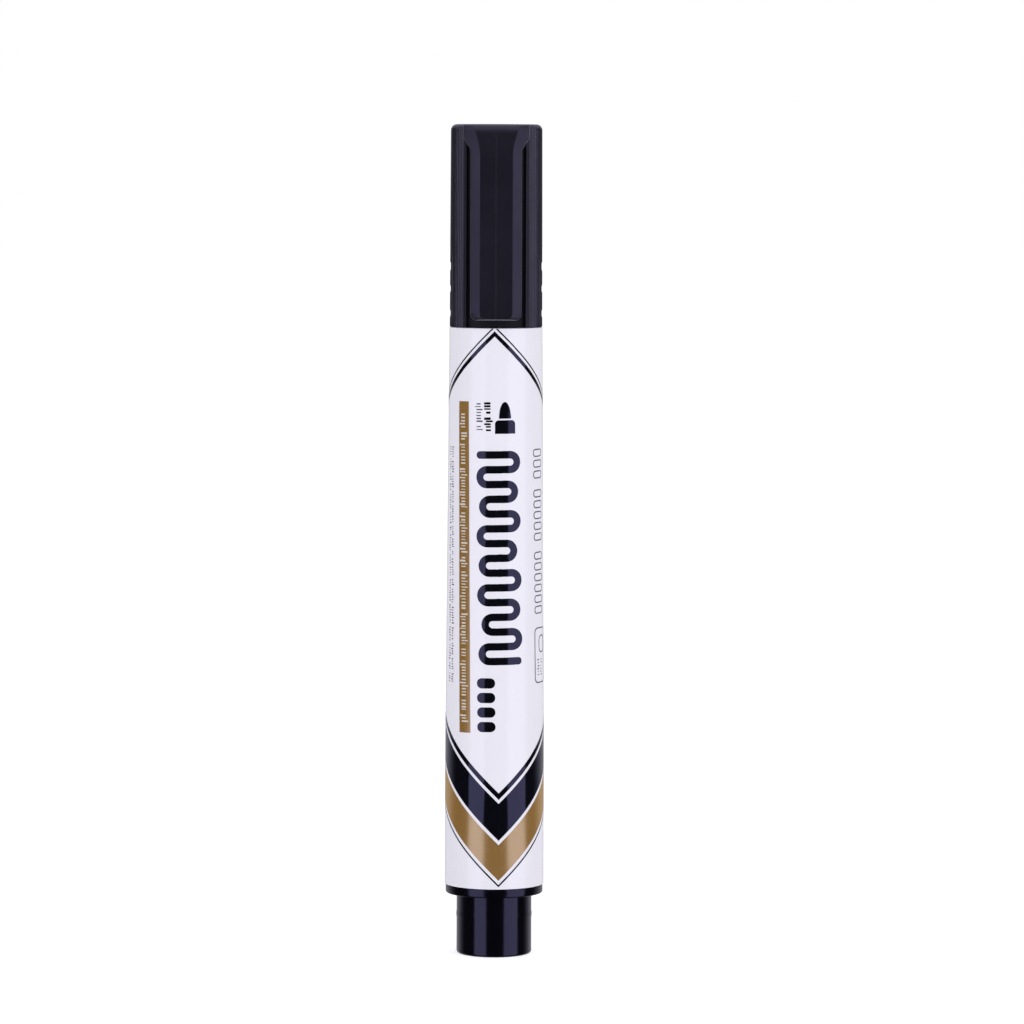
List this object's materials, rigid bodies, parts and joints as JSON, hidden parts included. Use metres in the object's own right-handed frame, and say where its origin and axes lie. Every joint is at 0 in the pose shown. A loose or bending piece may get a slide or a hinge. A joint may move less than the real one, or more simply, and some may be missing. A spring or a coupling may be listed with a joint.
{
  "type": "whiteboard marker",
  "caption": "Dry-erase marker: tapered tube with a printed film, fibre ink reservoir and bullet nib, and a pull-off cap with a pocket clip.",
  "frame": {"origin": "centre of the rear stub's flat end face", "axes": "+Z along the marker's axis, from the rear stub to the cap; the clip is on the -Y side"},
  "size_m": [0.0166, 0.0176, 0.1383],
  "materials": {
    "white_plastic": "glossy white moulded plastic",
    "print_film": "glossy white film printed in black, grey and gold",
    "black_gloss": "glossy black moulded plastic",
    "black_satin": "satin black moulded plastic",
    "liner_plastic": "natural milky plastic",
    "clear_film": "thin clear film",
    "reservoir_fibre": "bundled polyester fibre",
    "nib_fibre": "bonded acrylic fibre soaked with black ink"
  },
  "bodies": {
    "marker_body": {"barrel": "white_plastic", "label_film": "print_film", "rear_plug": "black_gloss", "ink_reservoir": "reservoir_fibre", "reservoir_wrap": "clear_film", "front_section": "black_gloss", "nib": "nib_fibre"},
    "liner": {"inner_cap": "liner_plastic"},
    "cap": {"cap_shell": "black_satin"},
    "clip": {"cap_clip": "black_satin"}
  },
  "joints": [
    {"name": "cap_pull", "type": "slide", "parent": "marker_body", "child": "liner", "axis": [0, 0, 1], "range_m": [0, 0.045]},
    {"name": "cap_turn", "type": "hinge", "parent": "liner", "child": "cap", "pos_m": [0, 0, 0.12], "axis": [0, 0, 1], "continuous": true},
    {"name": "clip_flex", "type": "hinge", "parent": "cap", "child": "clip", "pos_m": [0, -0.0085, 0.13465], "axis": [-1, 0, 0], "range_deg": [0, 5], "stiffness_Nm_per_rad": 0.43}
  ]
}
